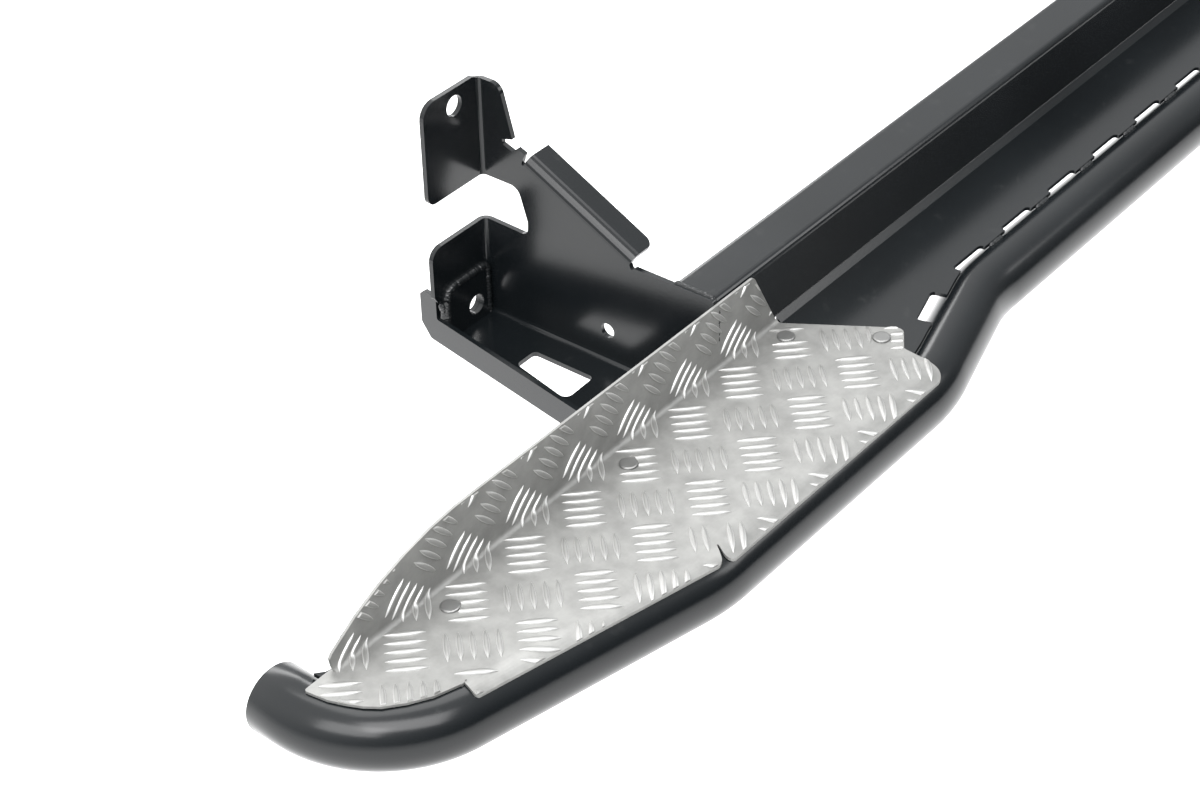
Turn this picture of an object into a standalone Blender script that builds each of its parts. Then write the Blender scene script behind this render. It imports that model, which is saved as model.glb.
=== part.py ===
"""Running board: bent outer tube, folded deck, rectangular inner rail, riveted tread plate and
three folded frame brackets.

Metres, +Z up. +X runs along the board from the wide end to the far end, +Y runs toward the
vehicle. In board coordinates the tread's top face is at Z 0; ORIGIN is the point of the board that
is placed at the world origin, the frame side of the middle bracket's upper flange.
"""
import math

import bmesh
import bpy
from mathutils import Matrix, Vector

# ---------------------------------------------------------------- driving dimensions
GAP = 0.0003                 # clearance between touching pieces

TUBE_R = 0.0255              # outer tube, 51 mm
TUBE_WALL = 0.003
TUBE_BEND_R = 0.0846         # centreline radius of the turned-in ends
TUBE_KINK_R = 0.150          # centreline radius of the shallow bends
TUBE_Y_WIDE = -0.0635        # centreline beside the tread plate
TUBE_Y_NARROW = -0.027       # centreline beside the notched deck
TUBE_FLARE = 0.236           # slope of the tube toward the wide end
TUBE_END_Y = 0.0927          # where the turned-in ends are cut
TUBE_X_REAR = -0.2212        # corner of the rear bend
TUBE_X_FLARE = 0.0483        # corner where the flare starts
TUBE_X_JOG = (0.3233, 0.4504)    # corners of the jog between wide and narrow
TUBE_X_FRONT = 1.784         # corner of the front bend
CAP_T = 0.003

TREAD_T = 0.002
TREAD_BEND_Y = 0.052         # start of the kick flange bend
TREAD_BEND_R = 0.004
KICK_H = 0.0555              # top of the kick flange over the tread
KICK_LEVEL_X = -0.060        # the kick flange is level from here toward the far end
LAP_FLARE = 0.0150           # how far the turned-down edges reach outboard of the tube's crown
LAP_WIDE = 0.0170            # the same along the straight part
SLIT_X = 0.0551              # inner end of the relief slit between the turned-down edges
SLIT_Y = -0.0661
SLIT_SLANT = 0.485           # run of the slit along X for each unit along Y

DECK_T = 0.003
DECK_TOP = -TREAD_T - GAP
DECK_EDGE = 0.0128           # deck edge inboard of the tube centreline
NOTCH_LEN = 0.040            # round-ended notches along the deck's outer edge
NOTCH_PITCH = 0.070
NOTCH_FIRST = 0.440
NOTCH_COUNT = 18
NOTCH_Y = -0.0098            # inboard side of the notches
LIP_START = 0.299            # where the deck's turned-up edge begins
LIP_RISE = 0.0048

RAIL_W = 0.040               # inner rail, rectangular tube on edge
RAIL_H = 0.060
RAIL_WALL = 0.002
RAIL_R = 0.005
RAIL_Y = 0.0585              # outboard face
RAIL_END = 1.744             # far end of the rail
RAIL_LOW = DECK_TOP + GAP

PLATE_T = 0.004              # bracket sheet
BEND_R = 0.004               # inside bend radius
WEB_X = (0.2194, 1.1230, 1.6830)     # -X face of each web
FLANGE_Y = 0.2766            # outboard face of the frame flanges
FLANGE_W = 0.062
BOLT_R = 0.0085
BOLTS = ((-0.0275, 0.1602), (-0.0194, -0.0198))    # X from the web face, Z
FLOOR_Z = -0.0358            # top face of the tray floor
STRIP_SLOPE = 0.1744         # the closing strip leans along X toward the vehicle
STRIP_X0 = -0.0805           # outer face of the closing strip at STRIP_Y0, from the web face
STRIP_Y0 = 0.1409

RIVET_HEAD_R = 0.007
RIVET_SHANK_R = 0.0024
RIVETS = ((-0.1035, 0.037), (0.0895, 0.037), (0.2836, 0.038), (0.3251, -0.0201))

ORIGIN = Vector((WEB_X[1] - 0.031, FLANGE_Y + PLATE_T, 0.131))

# ---------------------------------------------------------------- scene and materials
for old in list(bpy.data.objects):
    bpy.data.objects.remove(old, do_unlink=True)

board = bpy.data.collections.new("running_board")
bpy.context.scene.collection.children.link(board)
cutters = bpy.data.collections.new("cutters")
bpy.context.scene.collection.children.link(cutters)


def material(name, colour, roughness, metallic):
    mat = bpy.data.materials.new(name)
    mat.use_nodes = True
    shader = mat.node_tree.nodes["Principled BSDF"]
    shader.inputs["Base Color"].default_value = (colour[0], colour[1], colour[2], 1.0)
    shader.inputs["Roughness"].default_value = roughness
    shader.inputs["Metallic"].default_value = metallic
    return mat


COAT = material("black_powder_coat", (0.020, 0.021, 0.023), 0.35, 0.0)
ALLOY = material("bare_aluminium", (0.62, 0.62, 0.61), 0.38, 1.0)
RIVET = material("rivet_aluminium", (0.50, 0.50, 0.50), 0.42, 1.0)


# ---------------------------------------------------------------- outline helpers
def rounded(points, steps=5):
    """Closed outline from (a, b, radius) corners, each corner filleted by its radius."""
    out = []
    count = len(points)
    for i in range(count):
        here = Vector(points[i][:2])
        radius = points[i][2] if len(points[i]) > 2 else 0.0
        if radius <= 0.0:
            out.append((here.x, here.y))
            continue
        back = (Vector(points[i - 1][:2]) - here).normalized()
        ahead = (Vector(points[(i + 1) % count][:2]) - here).normalized()
        half = back.angle(ahead) / 2.0
        reach = radius / math.tan(half)
        centre = here + (back + ahead).normalized() * (radius / math.sin(half))
        start = here + back * reach - centre
        end = here + ahead * reach - centre
        turn = start.angle_signed(end)
        for k in range(steps + 1):
            angle = -turn * k / steps
            out.append((centre.x + start.x * math.cos(angle) - start.y * math.sin(angle),
                        centre.y + start.x * math.sin(angle) + start.y * math.cos(angle)))
    return out


def arc(cx, cy, radius, start, end, steps):
    """Points of an arc, angles in degrees."""
    out = []
    for k in range(steps + 1):
        angle = math.radians(start + (end - start) * k / steps)
        out.append((cx + radius * math.cos(angle), cy + radius * math.sin(angle)))
    return out


def link(obj, mat, name, datum):
    """Put a finished solid in the board's collection, placed from its own datum point."""
    obj.name = name
    obj.data.name = name
    if obj.users_collection:
        cutters.objects.unlink(obj)
    board.objects.link(obj)
    obj.data.transform(Matrix.Translation(-Vector(datum)))
    obj.location = Vector(datum) - ORIGIN
    obj.data.materials.clear()
    obj.data.materials.append(mat)
    obj.data.shade_smooth()
    obj.data.set_sharp_from_angle(angle=math.radians(35.0))
    return obj


def settle(obj, weld=0.00001):
    """Bake an object's modifiers and placement into a plain mesh on a one micron grid."""
    cutters.objects.link(obj)
    bpy.context.view_layer.update()
    graph = bpy.context.evaluated_depsgraph_get()
    mesh = bpy.data.meshes.new_from_object(obj.evaluated_get(graph))
    mesh.transform(obj.matrix_world)
    bm = bmesh.new()
    bm.from_mesh(mesh)
    bmesh.ops.remove_doubles(bm, verts=bm.verts, dist=weld)
    for vert in bm.verts:
        vert.co = Vector([round(value, 6) for value in vert.co])
    bmesh.ops.dissolve_degenerate(bm, edges=bm.edges, dist=0.000005)
    bmesh.ops.recalc_face_normals(bm, faces=bm.faces)
    bm.to_mesh(mesh)
    bm.free()
    bpy.data.objects.remove(obj, do_unlink=True)
    return bpy.data.objects.new("solid", mesh)


PLANES = {"XY": (0.0, 0.0, 0.0), "XZ": (math.pi / 2.0, 0.0, 0.0),
          "YZ": (math.pi / 2.0, 0.0, math.pi / 2.0)}


def plate(outlines, plane, low, high, place=None):
    """Flat piece: closed outlines in a plane, filled from low to high along the third axis."""
    curve = bpy.data.curves.new("outline", "CURVE")
    curve.dimensions = "2D"
    curve.fill_mode = "BOTH"
    curve.extrude = (high - low) / 2.0
    for outline in outlines:
        spline = curve.splines.new("POLY")
        spline.points.add(len(outline) - 1)
        for point, spot in zip(spline.points, outline):
            point.co = (spot[0], spot[1], 0.0, 1.0)
        spline.use_cyclic_u = True
    flat = bpy.data.objects.new("flat", curve)
    middle = (low + high) / 2.0
    if place is None:
        flat.rotation_euler = PLANES[plane]
        flat.location = {"XY": (0.0, 0.0, middle), "XZ": (0.0, middle, 0.0),
                         "YZ": (middle, 0.0, 0.0)}[plane]
    else:
        flat.matrix_world = place
    return settle(flat)


def combine(base, others, operation):
    """Join, trim or cut a solid with others and keep one plain mesh."""
    for index, other in enumerate(others):
        cutters.objects.link(other)
        step = base.modifiers.new("step_%d" % index, "BOOLEAN")
        step.operation = operation
        step.solver = "EXACT"
        step.object = other
    solid = settle(base)
    for spent in others:
        bpy.data.objects.remove(spent, do_unlink=True)
    return solid


def disc(x, y, z, radius, depth, axis, segments=32):
    """Round piece centred on a point of the board, along X, Y or Z."""
    mesh = bpy.data.meshes.new("disc")
    bm = bmesh.new()
    bmesh.ops.create_cone(bm, cap_ends=True, segments=segments, radius1=radius, radius2=radius,
                          depth=depth)
    bm.to_mesh(mesh)
    bm.free()
    piece = bpy.data.objects.new("disc", mesh)
    turn = {"X": (0.0, math.pi / 2.0, 0.0), "Y": (math.pi / 2.0, 0.0, 0.0), "Z": (0.0, 0.0, 0.0)}
    piece.rotation_euler = turn[axis]
    piece.location = (x, y, z)
    return piece


# ---------------------------------------------------------------- outer tube
def bent_path(corners, radii, offset=0.0):
    """Plan polyline through corners with filleted bends, moved sideways to its left."""
    points = [Vector(c) for c in corners]
    out = []
    first = (points[1] - points[0]).normalized()
    out.append(points[0] + Vector((-first.y, first.x)) * offset)
    for i in range(1, len(points) - 1):
        into = (points[i] - points[i - 1]).normalized()
        away = (points[i + 1] - points[i]).normalized()
        turn = math.atan2(into.x * away.y - into.y * away.x, into.dot(away))
        radius = radii[i - 1]
        start = points[i] - into * radius * math.tan(abs(turn) / 2.0)
        side = Vector((-into.y, into.x)) * (1.0 if turn > 0.0 else -1.0)
        centre = start + side * radius
        steps = max(3, round(math.degrees(abs(turn)) / 6.0))
        for k in range(steps + 1):
            spin = Matrix.Rotation(turn * k / steps, 2)
            heading = spin @ into
            left = Vector((-heading.y, heading.x))
            out.append(centre + spin @ (start - centre) + left * offset)
    last = (points[-1] - points[-2]).normalized()
    out.append(points[-1] + Vector((-last.y, last.x)) * offset)
    return out


def flare_y(x):
    return TUBE_Y_WIDE - TUBE_FLARE * (x - TUBE_X_FLARE)


TUBE_CORNERS = [(TUBE_X_REAR + 0.004, TUBE_END_Y), (TUBE_X_REAR, flare_y(TUBE_X_REAR)),
                (TUBE_X_FLARE, TUBE_Y_WIDE), (TUBE_X_JOG[0], TUBE_Y_WIDE),
                (TUBE_X_JOG[1], TUBE_Y_NARROW), (TUBE_X_FRONT, TUBE_Y_NARROW),
                (TUBE_X_FRONT, TUBE_END_Y)]
TUBE_RADII = [TUBE_BEND_R, TUBE_KINK_R, TUBE_KINK_R, TUBE_KINK_R, TUBE_BEND_R]
TUBE_Z = -TREAD_T - GAP - TUBE_R


def outer_tube():
    """Swept tube, opened into a wall by Solidify."""
    curve = bpy.data.curves.new("tube_path", "CURVE")
    curve.dimensions = "3D"
    curve.twist_mode = "Z_UP"
    curve.bevel_depth = TUBE_R
    curve.bevel_resolution = 12
    curve.use_fill_caps = False
    path = bent_path(TUBE_CORNERS, TUBE_RADII)
    spline = curve.splines.new("POLY")
    spline.points.add(len(path) - 1)
    for point, place in zip(spline.points, path):
        point.co = (place.x, place.y, TUBE_Z, 1.0)
    tube = settle(bpy.data.objects.new("tube_sweep", curve))
    wall = tube.modifiers.new("wall", "SOLIDIFY")
    wall.thickness = TUBE_WALL
    wall.offset = -1.0
    wall.use_even_offset = True
    link(tube, COAT, "outer_tube", (0.0, TUBE_Y_WIDE, TUBE_Z))


outer_tube()


def tube_cap(name, x):
    """Round plate set just inside a cut end of the tube."""
    y = TUBE_END_Y - CAP_T / 2.0 - 0.001
    cap = settle(disc(x, y, TUBE_Z, TUBE_R - TUBE_WALL - 2.0 * GAP, CAP_T, "Y", 36))
    edge = cap.modifiers.new("edge", "BEVEL")
    edge.width = 0.0005
    edge.segments = 2
    link(cap, COAT, name, (x, y, TUBE_Z))


tube_cap("rear_tube_cap", TUBE_X_REAR + 0.004)
tube_cap("front_tube_cap", TUBE_X_FRONT)


# ---------------------------------------------------------------- inner rail
def inner_rail():
    high = RAIL_LOW + RAIL_H
    outer = rounded([(RAIL_Y, RAIL_LOW, RAIL_R), (RAIL_Y + RAIL_W, RAIL_LOW, RAIL_R),
                     (RAIL_Y + RAIL_W, high, RAIL_R), (RAIL_Y, high, RAIL_R)])
    near = RAIL_R - RAIL_WALL
    w = RAIL_WALL
    inner = rounded([(RAIL_Y + w, RAIL_LOW + w, near), (RAIL_Y + RAIL_W - w, RAIL_LOW + w, near),
                     (RAIL_Y + RAIL_W - w, high - w, near), (RAIL_Y + w, high - w, near)])
    start = WEB_X[0] + PLATE_T + GAP
    rail = plate([outer, inner], "YZ", start, RAIL_END)
    link(rail, COAT, "inner_rail", (start, RAIL_Y, RAIL_LOW))
    cap = plate([outer], "YZ", RAIL_END + GAP, RAIL_END + GAP + 0.002)
    link(cap, COAT, "rail_front_cap", (RAIL_END + GAP, RAIL_Y, RAIL_LOW))


inner_rail()


# ---------------------------------------------------------------- deck plate
def kick_top(x):
    """Height of the kick flange's top edge: level, then rounding down toward the wide end."""
    if x >= KICK_LEVEL_X:
        return KICK_H
    u = (KICK_LEVEL_X - x) / 0.138
    return KICK_H - 0.0372 * u ** 2 - 0.0054 * u ** 5


def notch_shape(start, along, across, depth):
    """Plan outline of a notch: inner edge from start, open toward the tube."""
    far = start + along * NOTCH_LEN
    near_out = start - across * depth
    far_out = far - across * depth
    return rounded([(near_out.x, near_out.y, 0.0), (far_out.x, far_out.y, 0.0),
                    (far.x, far.y, 0.003), (start.x, start.y, 0.003)], 3)


def deck_plate():
    low = DECK_TOP - DECK_T
    edge = bent_path(TUBE_CORNERS, TUBE_RADII, offset=DECK_EDGE)
    x_rear = edge[0].x
    x_front = edge[-1].x
    end_y = 0.0835
    outline = [(x_rear, 0.0665)]
    outline += [(p.x, p.y) for p in edge if p.y < 0.0600]
    outline += [(x_front, end_y), (RAIL_END + 0.008, end_y), (RAIL_END + 0.008, 0.0522),
                (LIP_START, 0.0522), (LIP_START, 0.0578), (0.2145, 0.0578), (0.2145, 0.0563),
                (-0.183, 0.0563), (-0.183, 0.0600), (-0.1941, 0.0602), (-0.1985, 0.0614)]
    deck = plate([outline], "XY", low, DECK_TOP)
    # edge turned up at 45 degrees along the rail
    lip = plate([[(0.0480, low), (0.0546, low), (0.0582, low + 0.0036),
                  (0.0582, DECK_TOP + LIP_RISE), (0.0534, DECK_TOP), (0.0480, DECK_TOP)]],
                "YZ", LIP_START, RAIL_END + 0.004)
    # stiffening flange behind the kick flange
    face = TREAD_BEND_Y + TREAD_BEND_R + TREAD_T + GAP
    inside = 0.0020
    cy = face - inside
    cz = DECK_TOP + inside
    profile = [(0.0480, DECK_TOP)]
    profile += arc(cy, cz, inside, -90.0, 0.0, 5)
    profile += [(face, 0.060), (face + DECK_T, 0.060)]
    profile += arc(cy, cz, inside + DECK_T, 0.0, -90.0, 5)
    profile += [(0.0480, low)]
    flange = plate([profile], "YZ", -0.183, 0.2145)
    trim = [(-0.190, -0.010), (0.220, -0.010)]
    span = 16
    for k in range(span + 1):
        x = 0.220 - (0.220 + 0.183) * k / span
        trim.append((x, kick_top(x) - 0.006))
    trim.append((-0.190, 0.008))
    flange = combine(flange, [plate([trim], "XZ", 0.030, 0.080)], "INTERSECT")
    deck = combine(deck, [lip, flange], "UNION")
    # notches along the tube, and one on the slope of the jog
    tools = []
    straight = Vector((1.0, 0.0))
    for k in range(NOTCH_COUNT):
        start = Vector((NOTCH_FIRST + NOTCH_PITCH * k, NOTCH_Y))
        shape = notch_shape(start, straight, Vector((0.0, 1.0)), 0.020)
        tools.append(plate([shape], "XY", -0.015, 0.010))
    jog = Vector((TUBE_X_JOG[1] - TUBE_X_JOG[0], TUBE_Y_NARROW - TUBE_Y_WIDE)).normalized()
    shape = notch_shape(Vector((0.3640, -0.0256)), jog, Vector((-jog.y, jog.x)), 0.020)
    tools.append(plate([shape], "XY", -0.015, 0.010))
    for x, y in RIVETS:
        tools.append(settle(disc(x, y, DECK_TOP, RIVET_SHANK_R + GAP, 0.020, "Z")))
    deck = combine(deck, tools, "DIFFERENCE")
    link(deck, COAT, "deck_plate", (0.0, 0.0, DECK_TOP))


deck_plate()


# ---------------------------------------------------------------- tread plate
def wrapped_edge(start, heading, outline, length):
    """Edge turned down round the tube: a ring sector along a heading, trimmed in plan."""
    inner = TUBE_R + GAP
    outer = inner + TREAD_T
    profile = [(0.006, -TREAD_T)]
    profile += arc(0.0, TUBE_Z, inner, 90.0, 132.0, 9)
    profile += arc(0.0, TUBE_Z, outer, 132.0, 90.0, 9)
    profile += [(0.006, 0.0)]
    spot = Matrix.Translation((start[0], start[1], 0.0)) @ Matrix.Rotation(heading, 4, "Z")
    stand = Matrix(((0.0, 0.0, 1.0), (1.0, 0.0, 0.0), (0.0, 1.0, 0.0))).to_4x4()
    along = Matrix.Translation((length / 2.0, 0.0, 0.0))
    sector = plate([profile], "XY", -length / 2.0, length / 2.0, spot @ along @ stand)
    keep = plate([outline], "XY", -0.030, 0.030)
    return combine(sector, [keep], "INTERSECT")


def slit_x(y, side=0.0):
    """Plan x of the slanting relief slit at a given y, with an offset to one side."""
    return SLIT_X + SLIT_SLANT * (y - SLIT_Y) + side


def flare_lap(x, reach):
    """Plan point a distance outboard of the flared tube's crown."""
    scale = 1.0 / math.hypot(1.0, TUBE_FLARE)
    return (x - TUBE_FLARE * scale * reach, flare_y(x) - scale * reach)


def tread_plate():
    rear = [(-0.1757, -0.0117), (-0.1910, -0.0023), (-0.2037, 0.0084), (-0.2103, 0.0179),
            (-0.2154, 0.0287), (-0.2196, 0.0404), (-0.2221, 0.0585, 0.002)]
    points = [(-0.1965, 0.0585, 0.002), (-0.1950, TREAD_BEND_Y), (0.2960, TREAD_BEND_Y),
              (0.2985, 0.0480), (0.3460, -0.0262, 0.006), (0.3237, -0.0410, 0.003),
              (0.3214, TUBE_Y_WIDE), (SLIT_X + 0.0030, TUBE_Y_WIDE), (SLIT_X, SLIT_Y - 0.0004),
              (TUBE_X_FLARE, TUBE_Y_WIDE), (-0.1500, flare_y(-0.1500)), (-0.1542, -0.0190)]
    flat = plate([rounded(points + rear, 4)], "XY", -TREAD_T, 0.0)
    # kick flange with its bend
    cy = TREAD_BEND_Y
    cz = TREAD_BEND_R
    outer = TREAD_BEND_R + TREAD_T
    profile = [(0.0480, 0.0)]
    profile += arc(cy, cz, TREAD_BEND_R, -90.0, 0.0, 6)
    profile += [(cy + TREAD_BEND_R, 0.070), (cy + outer, 0.070)]
    profile += arc(cy, cz, outer, 0.0, -90.0, 6)
    profile += [(0.0480, -TREAD_T)]
    flange = plate([profile], "YZ", -0.200, 0.300)
    trim = [(-0.1950, -0.010), (0.2960, -0.010), (0.2960, 0.0010), (0.2665, KICK_H, 0.005)]
    span = 18
    for k in range(1, span + 1):
        x = 0.250 - (0.250 + 0.1965) * k / span
        trim.append((x, kick_top(x)))
    trim.append((-0.1988, 0.0110))
    flange = combine(flange, [plate([rounded(trim, 4)], "XZ", 0.030, 0.080)], "INTERSECT")
    # outer edges turned down round the tube, parted by a slit at the flare
    half_a = [(-0.1520, 0.0600), (-0.1520, -0.0170), (-0.3000, -0.0170), (-0.3000, -0.1200),
              (slit_x(-0.1200, 0.0002), -0.1200),
              (slit_x(SLIT_Y, 0.0002), SLIT_Y), (0.0510, -0.0610), (0.0440, 0.0600)]
    half_b = [(0.4000, 0.0600), (0.0530, 0.0600), (0.0530, -0.0610),
              (slit_x(SLIT_Y, -0.0002), SLIT_Y), (slit_x(-0.1200, -0.0002), -0.1200),
              (0.4000, -0.1200)]
    edge_b = wrapped_edge((0.0300, TUBE_Y_WIDE), 0.0, half_b, 0.2921)
    run_a = (0.0600 + 0.1560) * math.hypot(1.0, TUBE_FLARE)
    slope = math.atan(TUBE_FLARE)
    edge_a = wrapped_edge((-0.1560, flare_y(-0.1560)), -slope, half_a, run_a)
    tread = combine(flat, [flange, edge_b, edge_a], "UNION")
    out_b = TUBE_Y_WIDE - LAP_WIDE
    margin = [(-0.2400, -0.0187), (-0.1541, -0.0187), flare_lap(-0.1530, LAP_FLARE) + (0.003,),
              flare_lap(0.0490, LAP_FLARE) + (0.007,), (slit_x(SLIT_Y, -0.0007), SLIT_Y, 0.0005),
              (slit_x(SLIT_Y, 0.0007), SLIT_Y, 0.0005), (slit_x(out_b, 0.0007), out_b, 0.005),
              (0.3185, out_b, 0.010), (0.3212, TUBE_Y_WIDE + 0.0005),
              (0.3600, TUBE_Y_WIDE + 0.0005), (0.3600, -0.1200), (-0.2400, -0.1200)]
    tread = combine(tread, [plate([rounded(margin, 5)], "XY", -0.040, 0.030)], "DIFFERENCE")
    tools = []
    for x, y in RIVETS:
        tools.append(settle(disc(x, y, 0.0, RIVET_SHANK_R + GAP, 0.020, "Z")))
    tread = combine(tread, tools, "DIFFERENCE")
    link(tread, ALLOY, "tread_plate", (0.0, 0.0, 0.0))


tread_plate()


def rivet(name, x, y):
    """Blind rivet: flat head on the tread plate, shank, and set end below the deck."""
    under = DECK_TOP - DECK_T - GAP
    profile = [(0.0, 0.0014), (0.0058, 0.0014), (0.0067, 0.0011), (RIVET_HEAD_R, 0.0006),
               (RIVET_HEAD_R, GAP), (RIVET_SHANK_R, GAP), (RIVET_SHANK_R, under),
               (0.0036, under), (0.0038, under - 0.0020), (0.0030, under - 0.0042),
               (0.0012, under - 0.0048), (0.0, under - 0.0048)]
    mesh = bpy.data.meshes.new("profile")
    mesh.from_pydata([(r, 0.0, z) for r, z in profile],
                     [(i, i + 1) for i in range(len(profile) - 1)], [])
    piece = bpy.data.objects.new("profile", mesh)
    piece.location = (x, y, 0.0)
    spin = piece.modifiers.new("turn", "SCREW")
    spin.axis = "Z"
    spin.angle = math.tau
    spin.steps = 28
    spin.render_steps = 28
    spin.use_merge_vertices = True
    spin.merge_threshold = 0.00001
    spin.use_normal_calculate = True
    link(settle(piece), RIVET, name, (x, y, 0.0))


for number, spot in enumerate(RIVETS):
    rivet("tread_rivet_%d" % (number + 1), spot[0], spot[1])


# ---------------------------------------------------------------- frame brackets
def web_outline(y_tube, end_bracket, high, low):
    """Web in the Y Z plane: arm, C notch, gusset edge, rail corner and tube bite."""
    fy = FLANGE_Y
    r = BEND_R
    web = [(fy - r, 0.0884), (fy - r, 0.1720), (0.2568, 0.1720, 0.0100), (0.2453, 0.1289, 0.0005),
           (0.2554, 0.1262), (0.2554, 0.1218), (0.2458, 0.1183), (0.2407, 0.1227),
           (0.2340, 0.1200), (0.2380, 0.1085, 0.001), (high.x, high.y), (low.x, low.y),
           (0.1345, 0.0560, 0.001), (0.1314, 0.0585)]
    under = DECK_TOP - DECK_T - GAP
    if end_bracket:
        web += [(RAIL_Y, 0.0585, 0.003), (RAIL_Y, under)]
    else:
        side = RAIL_Y + RAIL_W + GAP
        web += [(side, 0.0585), (side, RAIL_LOW - GAP), (RAIL_Y + 0.0002, RAIL_LOW - GAP),
                (RAIL_Y + 0.0002, under)]
    radius = TUBE_R + GAP
    top = math.degrees(math.asin((under - TUBE_Z) / radius))
    bottom = math.degrees(math.asin((FLOOR_Z + r - TUBE_Z) / radius))
    web += arc(y_tube, TUBE_Z, radius, top, bottom, 8)
    web += [(fy - r, FLOOR_Z + r), (fy - r, 0.0490), (0.2340, 0.0480, 0.006),
            (0.2332, 0.0600, 0.015), (0.2420, 0.0884, 0.010)]
    return rounded(web, 5)


def bracket(tag, x0, y_tube, end_bracket):
    """Folded bracket plate, closing strip and doubler behind a web face at x0."""
    t = PLATE_T
    r = BEND_R
    fy = FLANGE_Y
    floor = FLOOR_Z
    cx = x0 - r
    cy = fy - r
    slope = math.radians(26.8)
    along = Vector((math.cos(slope), math.sin(slope)))
    high = Vector((0.2352, 0.1102))
    run = 0.1111
    low = high - along * run
    piece = plate([web_outline(y_tube, end_bracket, high, low)], "YZ", x0, x0 + t)

    def strip_face(y, depth):
        """X of the closing strip at a Y, a depth behind its outer face."""
        return x0 + STRIP_X0 + STRIP_SLOPE * (y - STRIP_Y0) + depth * math.hypot(1.0, STRIP_SLOPE)

    # frame flanges, drawn in plan and trimmed in elevation
    edge = x0 - FLANGE_W
    fold = [(cx, fy), (edge, fy), (edge, fy + t), (cx, fy + t)]
    fold += arc(cx, cy, r + t, 90.0, 0.0, 6)[1:]
    fold += [(x0 + t, cy - 0.001), (x0, cy - 0.001)]
    fold += arc(cx, cy, r, 0.0, 90.0, 6)[:-1]
    right = x0 + t + 0.002
    inner = strip_face(fy + t, t) + 0.0009
    upper = rounded([(right, 0.1720), (right, 0.0884), (edge - 0.00001, 0.0884, 0.008),
                     (edge - 0.00001, 0.1745, 0.013), (x0 - 0.006, 0.1745), (x0, 0.1720)], 6)
    lower = rounded([(right, 0.0490), (edge - 0.00001, 0.0490, 0.011),
                     (edge - 0.00001, 0.0060, 0.003), (inner, -0.0080, 0.003),
                     (inner, floor - 0.010), (right, floor - 0.010)], 6)
    folds = []
    for shape, bottom, top in ((upper, 0.080, 0.180), (lower, floor - t, 0.060)):
        band = plate([fold], "XY", bottom, top)
        folds.append(combine(band, [plate([shape], "XZ", fy - 0.030, fy + 0.030)], "INTERSECT"))

    # tray floor and its bend
    y_end = y_tube + TUBE_R + GAP
    cz = floor + r
    bend = [(x0, cz + 0.001), (x0 + t, cz + 0.001)]
    bend += arc(cx, cz, r + t, 0.0, -90.0, 6)
    bend += [(cx - 0.001, floor - t), (cx - 0.001, floor)]
    bend += arc(cx, cz, r, -90.0, 0.0, 6)
    folds.append(plate([bend], "XZ", y_end, cy))
    y_back = fy + t / 2.0
    tray = [(cx, y_end), (cx, y_back), (strip_face(y_back, t + GAP), y_back),
            (strip_face(y_end, t + GAP), y_end)]
    window = rounded([(x0 - 0.0242, 0.1530, 0.004), (x0 - 0.0242, 0.2110, 0.004),
                      (x0 - 0.0460, 0.2110, 0.005), (x0 - 0.0590, 0.1520, 0.006)], 4)
    folds.append(plate([tray, window], "XY", floor - t, floor))

    # gusset flange, drawn across its bend and run along the slope
    section = [(0.0, -0.001)]
    section += arc(-r - t, 0.0, r + t, 0.0, 90.0, 6)
    section += [(-0.0255, r + t), (-0.0255, r)]
    section += arc(-r - t, 0.0, r, 90.0, 0.0, 6)
    section += [(-t, -0.001)]
    rise = Vector((0.0, along.x, along.y))
    normal = Vector((0.0, -along.y, along.x))
    middle = high - along * (run / 2.0)
    spot = Matrix.Translation((x0, middle.x, middle.y))
    turn = Matrix((Vector((-1.0, 0.0, 0.0)), normal, rise)).transposed().to_4x4()
    gusset = plate([section], "XY", -run / 2.0, run / 2.0, spot @ turn)
    half = run / 2.0
    shape = rounded([(-0.010, -half - 0.001), (0.0256, -half - 0.001, 0.0095),
                     (0.0256, half + 0.001, 0.0020), (-0.010, half + 0.001)], 6)
    flip = Matrix((Vector((1.0, 0.0, 0.0)), rise, -normal)).transposed().to_4x4()
    gusset = combine(gusset, [plate([shape], "XY", -0.020, 0.020, spot @ flip)], "INTERSECT")
    folds.append(gusset)

    piece = combine(piece, folds, "UNION")
    tools = [settle(disc(x0 + t / 2.0, 0.1580, -0.0084, 0.00625, 0.030, "X"))]
    for x, z in BOLTS:
        tools.append(settle(disc(x0 + x, fy + t / 2.0, z, BOLT_R, 0.030, "Y")))
    piece = combine(piece, tools, "DIFFERENCE")
    link(piece, COAT, "bracket_plate_" + tag, (x0, fy, 0.0))

    # closing strip with its ear, drawn along the strip and turned to follow the tray
    lean = math.atan(STRIP_SLOPE)
    stretch = math.hypot(1.0, STRIP_SLOPE)
    near = stretch * (y_end + 0.0010 - STRIP_Y0)
    ear = stretch * (fy + 0.0052 - STRIP_Y0)
    end = stretch * (0.3010 - STRIP_Y0)
    base = floor - t
    shape = rounded([(near, base), (near, -0.0180), (ear, -0.0180, 0.0020), (ear, 0.0015, 0.0015),
                     (end - 0.0045, 0.0015, 0.001), (end, -0.0030, 0.001),
                     (end, base + 0.0110, 0.003), (end - 0.0110, base, 0.003)], 4)
    axes = Matrix((Vector((math.sin(lean), math.cos(lean), 0.0)), Vector((0.0, 0.0, 1.0)),
                   Vector((math.cos(lean), -math.sin(lean), 0.0)))).transposed().to_4x4()
    spot = Matrix.Translation((x0 + STRIP_X0, STRIP_Y0, 0.0))
    strip = plate([shape], "XY", 0.0, t, spot @ axes @ Matrix.Translation((0.0, 0.0, t / 2.0)))
    link(strip, COAT, "bracket_strip_" + tag, (x0 + STRIP_X0, STRIP_Y0, base))

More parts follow.
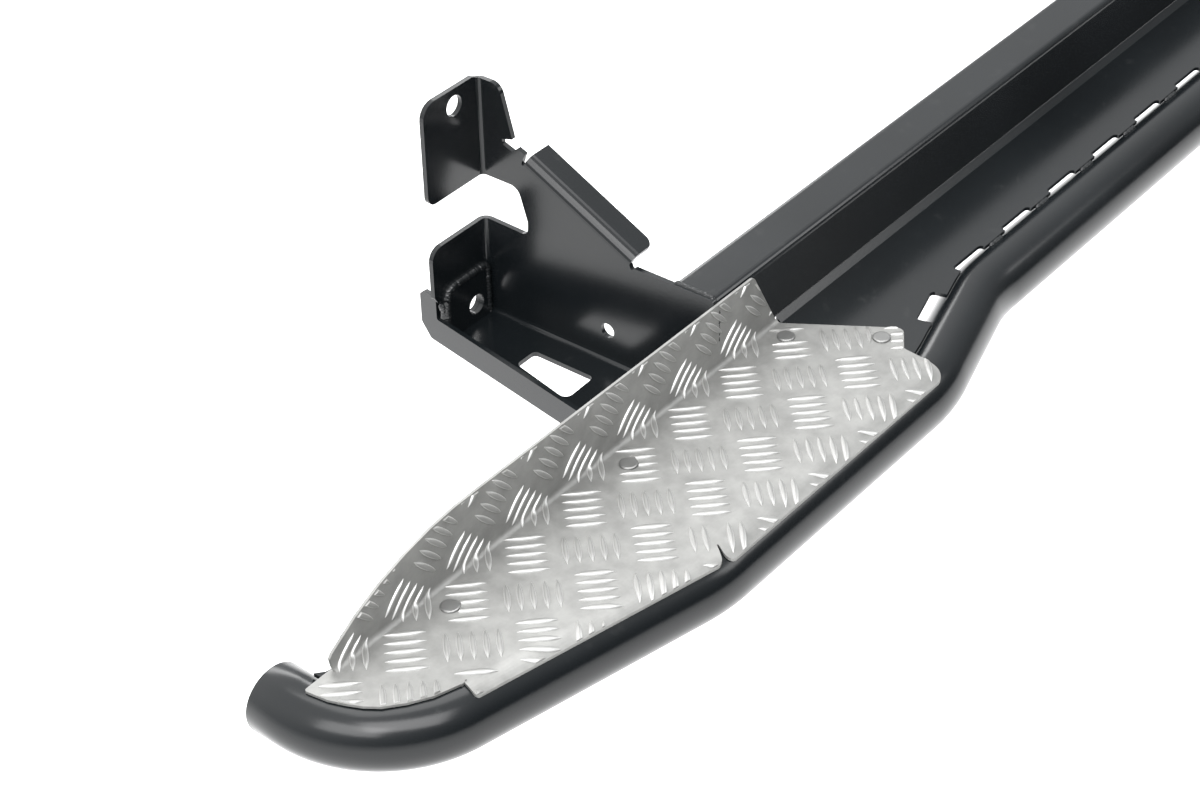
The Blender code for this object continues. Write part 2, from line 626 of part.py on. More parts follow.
    # doubler on the lower frame flange
    left = inner + 0.0006
    side = x0 - r - 0.0003
    shape = rounded([(left, floor + GAP), (left, 0.0093, 0.009), (side, 0.0093, 0.002),
                     (side, floor + GAP)], 5)
    doubler = plate([shape], "XZ", fy - GAP - t, fy - GAP)
    hole = settle(disc(x0 + BOLTS[1][0], fy, BOLTS[1][1], BOLT_R, 0.030, "Y"))
    doubler = combine(doubler, [hole], "DIFFERENCE")
    link(doubler, COAT, "bracket_doubler_" + tag, (x0, fy, floor))


bracket("rear", WEB_X[0], TUBE_Y_WIDE, True)
bracket("middle", WEB_X[1], TUBE_Y_NARROW, False)
bracket("front", WEB_X[2], TUBE_Y_NARROW, False)
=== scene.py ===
"""Looks for the running board: powder-coated steel, five-bar aluminium tread, welds and studio light.

Board coordinates below have X along the board from the wide end, Y toward the vehicle and Z 0 on
the tread's top face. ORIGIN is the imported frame's origin in those coordinates.
"""

import math

import bmesh
import bpy
from mathutils import Matrix, Vector


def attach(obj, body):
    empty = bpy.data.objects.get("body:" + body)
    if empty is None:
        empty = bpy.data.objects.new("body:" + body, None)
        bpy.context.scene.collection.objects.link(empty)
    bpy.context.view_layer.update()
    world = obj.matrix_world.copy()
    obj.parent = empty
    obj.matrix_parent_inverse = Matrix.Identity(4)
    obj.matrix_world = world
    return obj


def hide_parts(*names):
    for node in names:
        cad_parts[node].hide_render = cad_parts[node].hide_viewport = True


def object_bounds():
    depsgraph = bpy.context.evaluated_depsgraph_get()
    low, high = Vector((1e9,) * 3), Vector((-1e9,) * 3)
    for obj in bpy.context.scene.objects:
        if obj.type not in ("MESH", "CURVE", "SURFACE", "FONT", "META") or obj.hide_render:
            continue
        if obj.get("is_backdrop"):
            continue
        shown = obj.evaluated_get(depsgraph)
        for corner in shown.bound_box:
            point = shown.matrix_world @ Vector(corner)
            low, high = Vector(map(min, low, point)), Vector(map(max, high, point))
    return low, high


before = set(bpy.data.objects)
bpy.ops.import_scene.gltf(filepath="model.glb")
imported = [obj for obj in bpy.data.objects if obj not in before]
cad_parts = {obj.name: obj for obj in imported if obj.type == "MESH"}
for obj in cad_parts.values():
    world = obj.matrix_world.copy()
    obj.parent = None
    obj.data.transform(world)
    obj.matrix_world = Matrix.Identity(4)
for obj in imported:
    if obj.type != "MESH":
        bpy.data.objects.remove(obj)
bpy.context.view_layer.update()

ORIGIN = Vector((1.0920, 0.2806, 0.131))

# sizes repeated from the part, in board coordinates
GAP = 0.0003
TUBE_R = 0.0255
TREAD_T = 0.002
TUBE_Z = -TREAD_T - GAP - TUBE_R
TUBE_Y_WIDE = -0.0635
TUBE_Y_NARROW = -0.027
TUBE_FLARE = 0.236           # slope of the tube toward the wide end
TUBE_X_REAR = -0.2212
TUBE_X_FLARE = 0.0483
TUBE_X_FRONT = 1.784
TUBE_END_Y = 0.0927
TUBE_JOG = ((0.3233, TUBE_Y_WIDE), (0.4504, TUBE_Y_NARROW))
DECK_TOP = -TREAD_T - GAP
DECK_EDGE = 0.0128
NOTCH_FIRST = 0.440
NOTCH_PITCH = 0.070
NOTCH_LEN = 0.040
NOTCH_COUNT = 18
CREASE_Y = 0.052             # where the kick flange's bend starts, and its inside radius
CREASE_R = 0.004
SLIT_X = 0.0551              # relief slit between the turned-down edges
SLIT_Y = -0.0661
SLIT_SLANT = 0.485
LAP_FLARE = 0.0150           # reach of the turned-down edges past the tube's crown
LAP_WIDE = 0.0170
KICK_H = 0.0555
KICK_LEVEL_X = -0.060
RAIL_Y = 0.0585
RAIL_W = 0.040
RAIL_H = 0.060
RAIL_LOW = DECK_TOP + GAP
WEB_X = {"rear": 0.2194, "middle": 1.1230, "front": 1.6830}
PLATE_T = 0.004              # bracket sheet
FLANGE_Y = 0.2766
FLOOR_Z = -0.0358            # top face of the bracket trays
STRIP_SLOPE = 0.1744         # closing strips of the bracket trays
STRIP_X0 = -0.0805
STRIP_Y0 = 0.1409
STUDIO_FLOOR = -0.60
RIVETS = ((-0.1035, 0.037), (0.0895, 0.037), (0.2836, 0.038), (0.3251, -0.0201))

# tread pattern
PITCH = 0.0437               # square grid of groups of five bars, set at 45 degrees
BAR_LEN = 0.0285
BAR_WIDTH = 0.0045
BAR_HEIGHT = 0.0016
BAR_STEP = 0.0087            # between bars of one group


# ---------------------------------------------------------------- shader helpers
def new_material(name):
    """Principled material with its node tree's parts at hand."""
    mat = bpy.data.materials.new(name)
    mat.use_nodes = True
    nodes = mat.node_tree.nodes
    return mat, nodes, mat.node_tree.links, nodes["Principled BSDF"]


def noise(nodes, links, vector, scale, detail=3.0, rough=0.5):
    node = nodes.new("ShaderNodeTexNoise")
    node.inputs["Scale"].default_value = scale
    node.inputs["Detail"].default_value = detail
    node.inputs["Roughness"].default_value = rough
    links.new(vector, node.inputs["Vector"])
    return node.outputs["Fac"]


def remap(nodes, links, value, low, high, to_low, to_high):
    node = nodes.new("ShaderNodeMapRange")
    node.inputs["From Min"].default_value = low
    node.inputs["From Max"].default_value = high
    node.inputs["To Min"].default_value = to_low
    node.inputs["To Max"].default_value = to_high
    links.new(value, node.inputs["Value"])
    return node.outputs["Result"]


def mix_colour(nodes, links, factor, first, second):
    node = nodes.new("ShaderNodeMix")
    node.data_type = "RGBA"
    links.new(factor, node.inputs["Factor"])
    for socket, colour in ((node.inputs[6], first), (node.inputs[7], second)):
        if hasattr(colour, "links"):
            links.new(colour, socket)
        else:
            socket.default_value = (colour[0], colour[1], colour[2], 1.0)
    return node.outputs[2]


def maths(nodes, links, operation, first, second):
    node = nodes.new("ShaderNodeMath")
    node.operation = operation
    for socket, value in ((node.inputs[0], first), (node.inputs[1], second)):
        if hasattr(value, "links"):
            links.new(value, socket)
        else:
            socket.default_value = value
    return node.outputs[0]


def bump(nodes, links, height, strength, distance, before=None):
    node = nodes.new("ShaderNodeBump")
    node.inputs["Strength"].default_value = strength
    node.inputs["Distance"].default_value = distance
    links.new(height, node.inputs["Height"])
    if before is not None:
        links.new(before, node.inputs["Normal"])
    return node.outputs["Normal"]


def object_coords(nodes):
    return nodes.new("ShaderNodeTexCoord").outputs["Object"]


# ---------------------------------------------------------------- materials
def coat_material(name, base, roughness, peel):
    """Satin powder coat: orange peel, slow gloss changes, a little dust on what faces up."""
    mat, nodes, links, shader = new_material(name)
    where = object_coords(nodes)
    cloud = noise(nodes, links, where, 9.0, 4.0)
    grain = noise(nodes, links, where, 420.0, 2.0)
    fine = noise(nodes, links, where, 1500.0, 1.0)
    dust = noise(nodes, links, where, 60.0, 6.0, 0.65)
    geometry = nodes.new("ShaderNodeNewGeometry")
    split = nodes.new("ShaderNodeSeparateXYZ")
    links.new(geometry.outputs["Normal"], split.inputs[0])
    upward = remap(nodes, links, split.outputs["Z"], 0.2, 1.0, 0.0, 1.0)
    specks = remap(nodes, links, dust, 0.60, 0.80, 0.0, 1.0)
    settled = maths(nodes, links, "MULTIPLY", upward, specks)
    tone = remap(nodes, links, cloud, 0.3, 0.7, 0.0, 1.0)
    lighter = [channel * 1.35 for channel in base]
    colour = mix_colour(nodes, links, tone, base, lighter)
    dusted = mix_colour(nodes, links, maths(nodes, links, "MULTIPLY", settled, 0.10), colour,
                        (0.16, 0.16, 0.155))
    links.new(dusted, shader.inputs["Base Color"])
    shader.inputs["Specular IOR Level"].default_value = 0.42
    gloss = remap(nodes, links, cloud, 0.25, 0.75, roughness - 0.035, roughness + 0.035)
    matte = maths(nodes, links, "MULTIPLY", settled, 0.10)
    links.new(maths(nodes, links, "ADD", gloss, matte), shader.inputs["Roughness"])
    rough_peel = bump(nodes, links, grain, peel, 0.00006)
    links.new(bump(nodes, links, fine, peel * 0.6, 0.00002, rough_peel), shader.inputs["Normal"])
    return mat


def alloy_material(name, base, roughness, mottling, metal, rim=None):
    """Rolled aluminium: mottled mill finish, faint rolling streaks and small scuffs."""
    mat, nodes, links, shader = new_material(name)
    where = object_coords(nodes)
    stretch = nodes.new("ShaderNodeMapping")
    stretch.inputs["Scale"].default_value = (14.0, 900.0, 900.0)
    links.new(where, stretch.inputs["Vector"])
    streak = noise(nodes, links, stretch.outputs["Vector"], 1.0, 3.0)
    mottle = noise(nodes, links, where, 70.0, 5.0, 0.6)
    cloud = noise(nodes, links, where, 12.0, 3.0)
    grit = noise(nodes, links, where, 900.0, 2.0)
    mixed = maths(nodes, links, "ADD", maths(nodes, links, "MULTIPLY", mottle, 0.6),
                  maths(nodes, links, "MULTIPLY", cloud, 0.4))
    tone = remap(nodes, links, mixed, 0.35, 0.65, 0.0, 1.0)
    darker = [channel * (1.0 - mottling) for channel in base]
    colour = mix_colour(nodes, links, tone, darker, base)
    if rim is not None:
        # painted highlight: the bars' flanks, found by their tilted normals, are painted brighter than their
        # crowns, on the tread and the kick flange
        split = nodes.new("ShaderNodeSeparateXYZ")
        links.new(nodes.new("ShaderNodeNewGeometry").outputs["Normal"], split.inputs[0])
        level = maths(nodes, links, "MAXIMUM", maths(nodes, links, "ABSOLUTE", split.outputs["Y"], 0.0),
                      maths(nodes, links, "ABSOLUTE", split.outputs["Z"], 0.0))
        colour = mix_colour(nodes, links, remap(nodes, links, level, 0.76, 0.95, 0.0, 1.0), rim, colour)
    links.new(colour, shader.inputs["Base Color"])
    shader.inputs["Metallic"].default_value = metal
    blend = maths(nodes, links, "ADD", maths(nodes, links, "MULTIPLY", streak, 0.5),
                  maths(nodes, links, "MULTIPLY", mottle, 0.5))
    links.new(remap(nodes, links, blend, 0.3, 0.7, roughness - 0.07, roughness + 0.09),
              shader.inputs["Roughness"])
    first = bump(nodes, links, streak, 0.25, 0.00004)
    links.new(bump(nodes, links, grit, 0.30, 0.00003, first), shader.inputs["Normal"])
    return mat


COAT = coat_material("black_coat", (0.0050, 0.0064, 0.0074), 0.20, 0.30)
WELD = coat_material("coated_weld", (0.0090, 0.0102, 0.0110), 0.17, 0.40)
SHEET = alloy_material("tread_sheet", (0.325, 0.325, 0.315), 0.42, 0.30, 0.50)
# the last colour is the painted highlight on the bars' flanks
BARS = alloy_material("tread_bars", (0.33, 0.33, 0.32), 0.38, 0.10, 0.55, (0.64, 0.64, 0.63))
RIVET = alloy_material("rivet", (0.30, 0.30, 0.295), 0.34, 0.14, 0.85)


# ---------------------------------------------------------------- placing pieces
def add_piece(name, bm, mat, sharp=35.0):
    """Finished mesh in board coordinates, moved to the frame's origin and riding on the board."""
    mesh = bpy.data.meshes.new(name)
    bm.to_mesh(mesh)
    bm.free()
    mesh.transform(Matrix.Translation(-ORIGIN))
    piece = bpy.data.objects.new(name, mesh)
    bpy.context.scene.collection.objects.link(piece)
    mesh.materials.append(mat)
    mesh.shade_smooth()
    mesh.set_sharp_from_angle(angle=math.radians(sharp))
    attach(piece, "root")
    return piece


for node_name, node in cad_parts.items():
    paint = COAT
    if node_name == "tread_plate":
        paint = SHEET
    elif node_name.startswith("tread_rivet"):
        paint = RIVET
    node.data.materials.clear()
    node.data.materials.append(paint)
    if not node_name.startswith("tread_rivet"):
        edge = node.modifiers.new("eased_edges", "BEVEL")
        edge.width = 0.0004
        edge.segments = 2
        edge.limit_method = "ANGLE"
        edge.angle_limit = math.radians(40.0)
        level = node.modifiers.new("even_shading", "WEIGHTED_NORMAL")
        level.keep_sharp = True


# ---------------------------------------------------------------- tread bars
FLARE_ANGLE = -math.atan(TUBE_FLARE)
FLARE_OUT = Vector((math.sin(FLARE_ANGLE), -math.cos(FLARE_ANGLE)))
FLARE_POINT = Vector((TUBE_X_FLARE, TUBE_Y_WIDE))
SKIN_R = TUBE_R + GAP + TREAD_T


def slit_x(y, side=0.0):
    """X of the slanting slit at a given Y, with an offset to one side."""
    return SLIT_X + SLIT_SLANT * (y - SLIT_Y) + side


def fold(u, v, h):
    """Point h above the blank at (u, v), after the sheet is bent up at the rail and over the tube."""
    if v > CREASE_Y:
        run = v - CREASE_Y
        quarter = CREASE_R * math.pi / 2.0
        if run < quarter:
            turn = run / CREASE_R
            reach = CREASE_R - h
            return Vector((u, CREASE_Y + reach * math.sin(turn), CREASE_R - reach * math.cos(turn)))
        return Vector((u, CREASE_Y + CREASE_R - h, CREASE_R + run - quarter))
    spot = Vector((u, v))
    if u > slit_x(v):
        out = Vector((0.0, -1.0))
        past = TUBE_Y_WIDE - v
    else:
        out = FLARE_OUT
        past = (spot - FLARE_POINT).dot(out)
    if past <= 0.0 or u < -0.1560:
        return Vector((u, v, h))
    turn = past / SKIN_R
    base = spot - out * past
    reach = SKIN_R + h
    side = base + out * (reach * math.sin(turn))
    return Vector((side.x, side.y, TUBE_Z + reach * math.cos(turn)))


def kick_top(x):
    """Height of the kick flange's top edge: level, then rounding down toward the wide end."""
    if x >= KICK_LEVEL_X:
        return KICK_H
    u = (KICK_LEVEL_X - x) / 0.138
    return KICK_H - 0.0372 * u ** 2 - 0.0054 * u ** 5


def flare_y(x):
    """Y of the flared tube's crown."""
    return TUBE_Y_WIDE - TUBE_FLARE * (x - TUBE_X_FLARE)


def unrolled(reach):
    """Length of sheet that reaches this far outboard of the tube's crown."""
    return SKIN_R * math.asin(reach / SKIN_R)


def blank_outline():
    """Outline of the flat blank that the tread plate is folded from."""
    up = CREASE_Y + CREASE_R * math.pi / 2.0 - CREASE_R
    low = TUBE_Y_WIDE - unrolled(LAP_WIDE)
    points = [(0.2985, 0.0480), (0.3428, -0.0212), (0.3436, -0.0257), (0.3411, -0.0295),
              (0.3237, -0.0410), (0.3215, -0.0635), (0.3195, low + 0.006), (0.3120, low),
              (slit_x(low) + 0.0060, low), (slit_x(low) + 0.0020, low + 0.0045),
              (SLIT_X + 0.0007, SLIT_Y), (SLIT_X - 0.0007, SLIT_Y)]
    lap = unrolled(LAP_FLARE)
    points.append((slit_x(-0.0740, -0.0010), -0.0740))
    for x in (0.0445, -0.1530):
        points.append((x + FLARE_OUT.x * lap, flare_y(x) + FLARE_OUT.y * lap))
    points += [(-0.1542, -0.0190), (-0.1757, -0.0117), (-0.1910, -0.0023), (-0.2037, 0.0084),
               (-0.2103, 0.0179), (-0.2154, 0.0287), (-0.2196, 0.0404), (-0.2221, 0.0585),
               (-0.1965, 0.0585), (-0.1985, 0.0110 + up)]
    steps = 14
    for k in range(steps + 1):
        x = -0.1955 + (0.250 + 0.1955) * k / steps
        points.append((x, kick_top(x) + up))
    points += [(0.2665, KICK_H + up), (0.2960, 0.0010 + up)]
    return [Vector(p) for p in points]


def inside(point, outline):
    """True when a plan point is inside a closed outline."""
    hit = False
    count = len(outline)
    for k in range(count):
        a = outline[k]
        b = outline[(k + 1) % count]
        if (a.y > point.y) != (b.y > point.y):
            if point.x < (b.x - a.x) * (point.y - a.y) / (b.y - a.y) + a.x:
                hit = not hit
    return hit


def span_gap(a, b, c, d):
    """Smallest distance between two short plan segments, by sampling the first."""
    best = 1.0
    side = d - c
    for k in range(13):
        p = a.lerp(b, k / 12.0)
        t = max(0.0, min(1.0, (p - c).dot(side) / side.length_squared))
        best = min(best, (p - c - side * t).length)
    return best


def bar_mesh(target, centre, along, outline):
    """One lens-shaped bar on the blank, cut off at the outline and at the rivets."""
    across = Vector((-along.y, along.x))
    part = bmesh.new()
    rows = 12
    section = ((1.0, -0.07), (0.88, 0.62), (0.66, 0.93), (0.0, 1.0), (-0.66, 0.93), (-0.88, 0.62),
               (-1.0, -0.07))
    cols = len(section) - 1
    rings = []
    for i in range(rows + 1):
        s = -1.0 + 2.0 * i / rows
        width = BAR_WIDTH / 2.0 * max(0.05, 1.0 - abs(s) ** 2.6)
        high = BAR_HEIGHT * max(0.10, (1.0 - abs(s) ** 5.0))
        ring = []
        for q, h in section:
            p = centre + along * (s * BAR_LEN / 2.0) + across * (q * width)
            ring.append(part.verts.new((p.x, p.y, h * high)))
        rings.append(ring)
    for i in range(rows):
        for j in range(cols):
            part.faces.new((rings[i][j], rings[i + 1][j], rings[i + 1][j + 1], rings[i][j + 1]))
        part.faces.new((rings[i][cols], rings[i + 1][cols], rings[i + 1][0], rings[i][0]))
    part.faces.new(list(reversed(rings[-1])))
    part.faces.new(rings[0])
    head = centre - along * (BAR_LEN / 2.0)
    tail = centre + along * (BAR_LEN / 2.0)
    cuts = []
    count = len(outline)
    for k in range(count):
        a = outline[k]
        b = outline[(k + 1) % count]
        if span_gap(head, tail, a, b) < BAR_WIDTH / 2.0 + 0.0012:
            edge = (b - a).normalized()
            cuts.append((a + Vector((-edge.y, edge.x)) * -0.0010, Vector((-edge.y, edge.x))))
    for x, y in RIVETS:
        spot = Vector((x, y))
        t = max(-1.0, min(1.0, (spot - centre).dot(along) / (BAR_LEN / 2.0)))
        nearest = centre + along * (t * BAR_LEN / 2.0)
        away = nearest - spot
        if away.length < 0.0095:
            if away.length < 0.0001 or (centre - spot).length < 0.004:
                part.free()
                return
            out = (centre - spot).normalized()
            cuts.append((spot + out * 0.0076, -out))
    for point, outward in cuts:
        geom = part.verts[:] + part.edges[:] + part.faces[:]
        cut = bmesh.ops.bisect_plane(part, geom=geom, dist=0.000001,
                                     plane_co=(point.x, point.y, 0.0),
                                     plane_no=(outward.x, outward.y, 0.0), clear_outer=True)
        rim = [item for item in cut["geom_cut"] if isinstance(item, bmesh.types.BMEdge)]
        if rim:
            bmesh.ops.holes_fill(part, edges=rim)
    if len(part.faces) > 4:
        lookup = {}
        for vert in part.verts:
            lookup[vert] = target.verts.new(fold(vert.co.x, vert.co.y, vert.co.z))
        for face in part.faces:
            target.faces.new([lookup[vert] for vert in face.verts])
    part.free()


def tread_bars():
    outline = blank_outline()
    target = bmesh.new()
    root = math.sqrt(0.5)
    first = Vector((root, -root))
    second = Vector((-root, -root))
    for i in range(-14, 15):
        for j in range(-14, 15):
            centre = first * (i * PITCH) + second * (j * PITCH)
            if not (-0.26 < centre.x < 0.38 and -0.13 < centre.y < 0.15):
                continue
            along, step = (second, first) if (i + j) % 2 == 0 else (first, second)
            for k in range(-2, 3):
                middle = centre + step * (k * BAR_STEP)
                probes = [middle + along * (BAR_LEN * t) for t in (-0.42, -0.2, 0.0, 0.2, 0.42)]
                if any(inside(p, outline) for p in probes):
                    bar_mesh(target, middle, along, outline)
    bmesh.ops.recalc_face_normals(target, faces=target.faces)
    add_piece("tread_bars", target, BARS, 50.0)


tread_bars()


# ---------------------------------------------------------------- outer tube
def bent_path():
    """Centreline of the tube: corners filleted in plan."""
    corners = [(TUBE_X_REAR + 0.004, TUBE_END_Y), (TUBE_X_REAR, flare_y(TUBE_X_REAR)),
               (TUBE_X_FLARE, TUBE_Y_WIDE), TUBE_JOG[0], TUBE_JOG[1],
               (TUBE_X_FRONT, TUBE_Y_NARROW), (TUBE_X_FRONT, TUBE_END_Y)]
    radii = (0.0846, 0.150, 0.150, 0.150, 0.0846)
    points = [Vector(c) for c in corners]
    out = [(points[0], (points[1] - points[0]).normalized())]
    for i in range(1, len(points) - 1):
        into = (points[i] - points[i - 1]).normalized()
        away = (points[i + 1] - points[i]).normalized()
        turn = math.atan2(into.x * away.y - into.y * away.x, into.dot(away))
        radius = radii[i - 1]
        start = points[i] - into * radius * math.tan(abs(turn) / 2.0)
        side = Vector((-into.y, into.x)) * (1.0 if turn > 0.0 else -1.0)
        centre = start + side * radius
        steps = max(8, round(math.degrees(abs(turn)) / 1.5))
        for k in range(steps + 1):
            spin = Matrix.Rotation(turn * k / steps, 2)
            out.append((centre + spin @ (start - centre), spin @ into))
    out.append((points[-1], (points[-1] - points[-2]).normalized()))
    return out


def tube_piece():
    """The bent tube at full smoothness, with rounded cut lips."""
    bm = bmesh.new()
    sides = 72
    wall = 0.003
    lip = 0.0005
    path = bent_path()
    inner = TUBE_R - wall
    stations = []
    first, heading = path[0]
    stations.append((first, heading, inner))
    stations.append((first, heading, inner + lip))
    stations.append((first, heading, TUBE_R - lip))
    stations.append((first + heading * lip * 0.3, heading, TUBE_R - lip * 0.3))
    stations.append((first + heading * lip, heading, TUBE_R))
    for spot, heading in path[1:-1]:
        stations.append((spot, heading, TUBE_R))
    last, heading = path[-1]
    stations.append((last - heading * lip, heading, TUBE_R))
    stations.append((last - heading * lip * 0.3, heading, TUBE_R - lip * 0.3))
    stations.append((last, heading, TUBE_R - lip))
    stations.append((last, heading, inner))
    for spot, heading in reversed(path[1:-1]):
        stations.append((spot, heading, inner))
    rings = []
    for spot, heading, radius in stations:
        out = Vector((-heading.y, heading.x, 0.0))
        ring = []
        for k in range(sides):
            angle = math.tau * k / sides
            ring.append(bm.verts.new(Vector((spot.x, spot.y, TUBE_Z)) + out * (math.cos(angle) * radius)
                                     + Vector((0.0, 0.0, math.sin(angle) * radius))))
        rings.append(ring)
    count = len(rings)
    for k in range(count):
        here = rings[k]
        there = rings[(k + 1) % count]
        for i in range(sides):
            j = (i + 1) % sides
            bm.faces.new((here[i], here[j], there[j], there[i]))
    bmesh.ops.recalc_face_normals(bm, faces=bm.faces)
    piece = add_piece("tube_smooth", bm, COAT, 60.0)
    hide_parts("outer_tube")


tube_piece()


# ---------------------------------------------------------------- weld beads
def bead(name, points, radius, ripple=0.0022, flat=0.75):
    """Rippled weld along a polyline, as one closed tube that sinks into what it joins."""
    bm = bmesh.new()
    path = [Vector(p) for p in points]
    samples = []
    for a, b in zip(path, path[1:]):
        count = max(2, int((b - a).length / 0.0006))
        for k in range(count):
            samples.append(a.lerp(b, k / count))
    samples.append(path[-1])
    travelled = 0.0
    rings = []
    sides = 10
    last = len(samples) - 1
    for k, spot in enumerate(samples):
        if k > 0:
            travelled += (spot - samples[k - 1]).length
        heading = (samples[min(k + 1, last)] - samples[max(k - 1, 0)]).normalized()
        side = heading.cross(Vector((0.0, 0.0, 1.0)))
        if side.length < 0.1:
            side = heading.cross(Vector((1.0, 0.0, 0.0)))
        side.normalize()
        up = side.cross(heading).normalized()
        phase = (travelled / ripple) % 1.0
        swell = 0.86 + 0.14 * math.sqrt(max(0.0, 1.0 - (2.0 * phase - 1.0) ** 2))
        swell *= 1.0 + 0.06 * math.sin(travelled * 730.0) + 0.04 * math.sin(travelled * 1710.0)
        cap = min(1.0, 0.25 + 0.75 * min(k, last - k) / 4.0)
        ring = []
        for s in range(sides):
            angle = math.tau * s / sides
            ring.append(bm.verts.new(spot + (side * math.cos(angle) + up * math.sin(angle) * flat)
                                     * (radius * swell * cap)))
        rings.append(ring)
    for k in range(last):
        for s in range(sides):
            t = (s + 1) % sides
            bm.faces.new((rings[k][s], rings[k][t], rings[k + 1][t], rings[k + 1][s]))
    bm.faces.new(list(reversed(rings[0])))
    bm.faces.new(rings[-1])
    bmesh.ops.recalc_face_normals(bm, faces=bm.faces)
    return add_piece(name, bm, WELD, 60.0)


def strip_x(y, x0):
    """X of the closing strip's outer face at a given Y."""
    return x0 + STRIP_X0 + STRIP_SLOPE * (y - STRIP_Y0)


for tag, x0 in WEB_X.items():
    x_left = strip_x(FLANGE_Y + PLATE_T, x0) + 0.0048
    face = FLANGE_Y - GAP - PLATE_T
    side = x0 - 0.0043
    bead("weld_doubler_" + tag,
         [(x_left, face + 0.003, FLOOR_Z + 0.002), (x_left, face + 0.003, 0.0010),
          (x_left + 0.0026, face + 0.003, 0.0070), (x_left + 0.0090, face + 0.003, 0.0093),
          (side - 0.002, face + 0.003, 0.0093), (side, face + 0.0025, 0.0070),
          (side, face + 0.0025, FLOOR_Z + 0.002)], 0.0042)
    bead("weld_strip_" + tag,
         [(strip_x(0.020, x0) + 0.0045, 0.020, FLOOR_Z + 0.0004),
          (strip_x(0.110, x0) + 0.0045, 0.110, FLOOR_Z + 0.0004)], 0.0022)
    bead("weld_strip_end_" + tag,
         [(strip_x(0.226, x0) + 0.0045, 0.226, FLOOR_Z + 0.0004),
          (strip_x(0.274, x0) + 0.0045, 0.274, FLOOR_Z + 0.0004)], 0.0022)
    bead("weld_strip_flange_" + tag,
         [(strip_x(0.2768, x0) + 0.0042, 0.2768, -0.0345),
          (strip_x(0.2768, x0) + 0.0037, 0.2768, -0.0100),
          (strip_x(0.2768, x0) + 0.0014, 0.2768, -0.0012)], 0.0032)

# rail to the rear web
rear = WEB_X["rear"] + PLATE_T
high = RAIL_LOW + RAIL_H
bead("weld_rail_rear", [(rear + 0.0002, RAIL_Y - 0.0002, 0.020), (rear + 0.0002, RAIL_Y - 0.0002, 0.050),
                        (rear + 0.0002, RAIL_Y + 0.0040, high + 0.0002),
                        (rear + 0.0002, RAIL_Y + RAIL_W - 0.004, high + 0.0002),
                        (rear + 0.0002, RAIL_Y + RAIL_W, high - 0.006),
                        (rear + 0.0002, RAIL_Y + RAIL_W, 0.010)], 0.0026)
for tag in ("middle", "front"):
    for end, x in (("near", WEB_X[tag] - 0.0003), ("far", WEB_X[tag] + PLATE_T + 0.0003)):
        bead("weld_rail_%s_%s" % (tag, end), [(x, RAIL_Y + RAIL_W + 0.0002, 0.004),
                                              (x, RAIL_Y + RAIL_W + 0.0002, 0.052)], 0.0024)

# tacks on the lands between the deck's notches
for k in range(NOTCH_COUNT - 1):
    x = NOTCH_FIRST + NOTCH_PITCH * k + NOTCH_LEN + (NOTCH_PITCH - NOTCH_LEN) / 2.0
    y = TUBE_Y_NARROW + DECK_EDGE - 0.0010
    bead("weld_deck_%02d" % (k + 1), [(x - 0.0095, y, DECK_TOP - 0.0022), (x + 0.0095, y, DECK_TOP - 0.0022)],
         0.0026)

# ---------------------------------------------------------------- studio
def floor():
    """Plain pale studio floor."""
    bm = bmesh.new()
    bmesh.ops.create_grid(bm, x_segments=1, y_segments=1, size=30.0)
    mesh = bpy.data.meshes.new("studio_floor")
    bm.to_mesh(mesh)
    bm.free()
    obj = bpy.data.objects.new("studio_floor", mesh)
    bpy.context.scene.collection.objects.link(obj)
    obj.location = (0.0, 0.0, STUDIO_FLOOR)
    mat, _, _, shader = new_material("pale_floor")
    shader.inputs["Base Color"].default_value = (0.92, 0.92, 0.92, 1.0)
    shader.inputs["Roughness"].default_value = 0.9
    shader.inputs["Specular IOR Level"].default_value = 0.0
    mesh.materials.append(mat)
    shader.inputs["Emission Color"].default_value = (1.0, 1.0, 1.0, 1.0)
    shader.inputs["Emission Strength"].default_value = 0.36
    obj.visible_diffuse = False
    obj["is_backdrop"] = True


floor()


def soft_light(name, place, aim, width, height, power):
    """Rectangular area light that faces a point."""
    light = bpy.data.lights.new(name, "AREA")
    light.shape = "RECTANGLE"
    light.size = width
    light.size_y = height
    light.energy = power
    obj = bpy.data.objects.new(name, light)
    bpy.context.scene.collection.objects.link(obj)
    obj.location = place
    obj.rotation_euler = (Vector(aim) - Vector(place)).to_track_quat("-Z", "Y").to_euler()
    return obj


soft_light("overhead", (-0.3, 0.3, 2.6), (-0.5, -0.2, 0.0), 2.6, 1.6, 36.0)
soft_light("key", (-2.2, -1.6, 2.4), (-0.9, -0.3, 0.0), 2.4, 1.6, 66.0)
soft_light("right_high", (0.75, -1.96, 1.42), (-1.0, -0.3, 0.0), 1.4, 0.7, 13.0)
soft_light("left_fill", (-3.0, -0.6, 1.5), (-0.6, -0.2, 0.0), 1.6, 1.2, 28.0)
soft_light("back_strip", (0.9, 2.6, 1.5), (-0.4, -0.2, 0.0), 2.4, 0.7, 30.0)

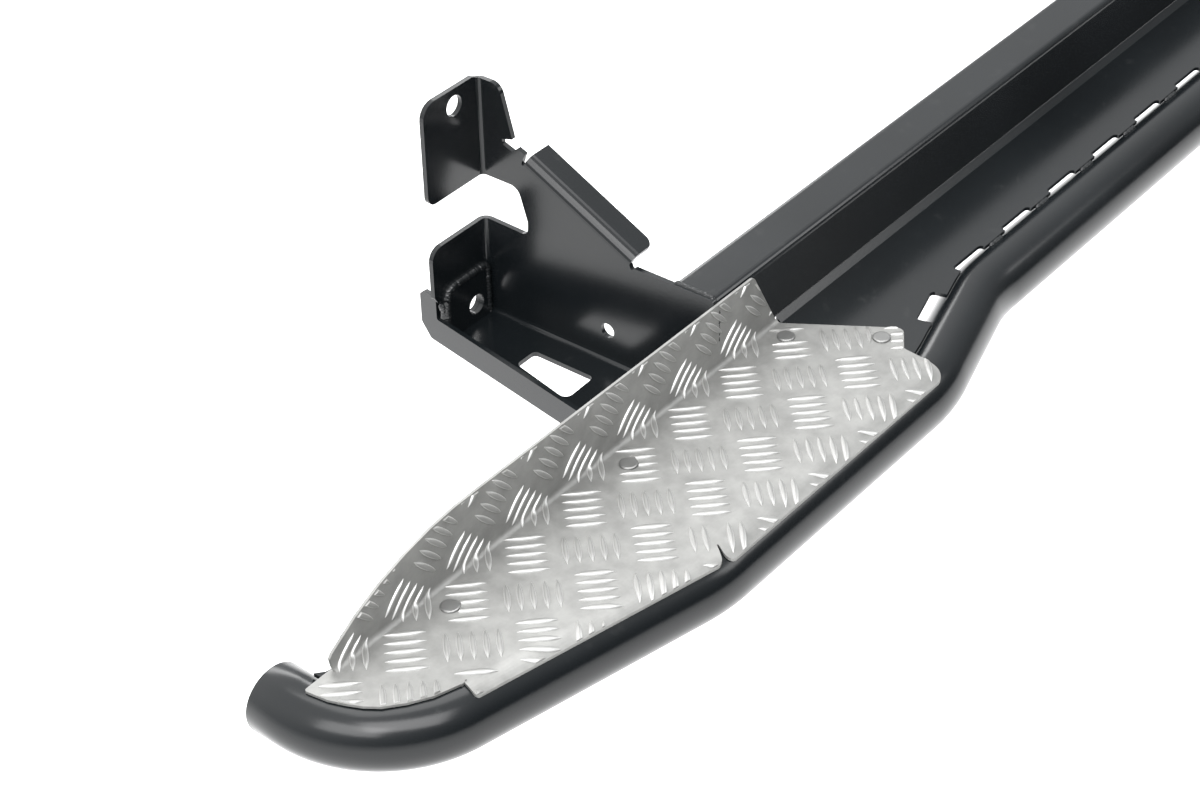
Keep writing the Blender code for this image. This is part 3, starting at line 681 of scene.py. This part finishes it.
world = bpy.data.worlds.new("studio_air")
bpy.context.scene.world = world
world.use_nodes = True
world_nodes = world.node_tree.nodes
world_links = world.node_tree.links
sky = world_nodes["Background"]
coords = world_nodes.new("ShaderNodeTexCoord")
facing = world_nodes.new("ShaderNodeVectorMath")
facing.operation = "DOT_PRODUCT"
facing.inputs[1].default_value = Vector((-0.25, 0.55, 0.76)).normalized()
world_links.new(coords.outputs["Generated"], facing.inputs[0])
ramp = world_nodes.new("ShaderNodeValToRGB")
elements = ramp.color_ramp.elements
elements[0].position = 0.22
elements[0].color = (0.012, 0.012, 0.012, 1.0)
elements[1].position = 0.95
elements[1].color = (1.0, 1.0, 1.0, 1.0)
middle_stop = elements.new(0.60)
middle_stop.color = (0.42, 0.43, 0.44, 1.0)
half = world_nodes.new("ShaderNodeMapRange")
half.inputs["From Min"].default_value = -1.0
half.inputs["From Max"].default_value = 1.0
world_links.new(facing.outputs["Value"], half.inputs["Value"])
world_links.new(half.outputs["Result"], ramp.inputs["Fac"])
world_links.new(ramp.outputs["Color"], sky.inputs["Color"])
sky.inputs["Strength"].default_value = 1.85
bpy.context.scene.view_settings.view_transform = "Standard"

# ---------------------------------------------------------------- camera
CAMERA_AT = Vector((-1.1245, -0.9254, 1.1959)) - ORIGIN
TURN = math.radians(39.11)
TILT = math.radians(36.35)
ROLL = math.radians(1.44)
forward = Vector((math.cos(TURN) * math.cos(TILT), math.sin(TURN) * math.cos(TILT), -math.sin(TILT)))
right = forward.cross(Vector((0.0, 0.0, 1.0))).normalized()
down = forward.cross(right)
cam_x = right * math.cos(ROLL) + down * math.sin(ROLL)
cam_down = down * math.cos(ROLL) - right * math.sin(ROLL)
lens = bpy.data.cameras.new("photo_camera")
lens.sensor_width = 36.0
lens.lens = 83.13
lens.clip_start = 0.05
camera = bpy.data.objects.new("photo_camera", lens)
bpy.context.scene.collection.objects.link(camera)
basis = Matrix((cam_x, -cam_down, -forward)).transposed()
camera.matrix_world = Matrix.Translation(CAMERA_AT) @ basis.to_4x4()
bpy.context.scene.camera = camera

low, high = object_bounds()
